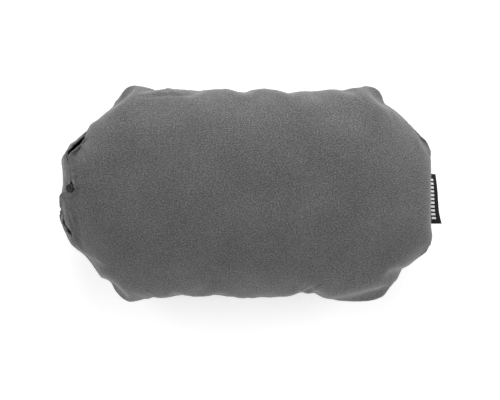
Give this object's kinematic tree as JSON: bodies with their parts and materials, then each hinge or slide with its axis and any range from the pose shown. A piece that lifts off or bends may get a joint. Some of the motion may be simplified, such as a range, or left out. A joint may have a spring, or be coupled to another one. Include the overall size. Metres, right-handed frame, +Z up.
{
  "type": "inflatable camp pillow",
  "caption": "Long octagonal inflatable pillow in a soft knit cover, with an elasticated mouth at one end, a push-pull air valve and a folded side label.",
  "frame": {"origin": "on the ground under the middle of the whole pillow, its label included", "axes": "+X along the pillow, from the valve end to the label end; +Y across it, to the back edge; +Z up"},
  "size_m": [0.575, 0.3186, 0.14],
  "materials": {
    "knit": "brushed heather knit",
    "thread": "matte sewing thread",
    "elastic": "knitted elastic",
    "label": "woven satin",
    "satin": "printed satin",
    "film": "coated woven film",
    "moulding": "satin",
    "plastic": "satin gloss",
    "seal": "matte"
  },
  "bodies": {
    "pillow": {"cover_top_panel": "knit", "cover_bottom_panel": "knit", "perimeter_seam": "thread", "mouth_hem_upper": "knit", "mouth_hem_lower": "knit", "mouth_elastic_upper": "elastic", "mouth_elastic_lower": "elastic", "bartack_back": "thread", "bartack_front": "thread", "care_label": "satin", "bladder_top_sheet": "film", "bladder_bottom_sheet": "film", "bladder_baffle_back": "film", "bladder_baffle_front": "film", "valve_base": "moulding", "valve_plug": "plastic", "valve_o_ring": "seal"},
    "knob": {"valve_knob": "plastic"},
    "label": {"end_label": "label"}
  },
  "joints": [
    {"name": "valve_pull", "type": "slide", "parent": "pillow", "child": "knob", "axis": [-0.5592, 0, 0.829], "range_m": [0, 0.0036]},
    {"name": "label_flex", "type": "hinge", "parent": "pillow", "child": "label", "pos_m": [0.27151, 0, 0.06], "axis": [0, 1, 0], "range_deg": [-70, 40], "stiffness_Nm_per_rad": 0.002}
  ]
}
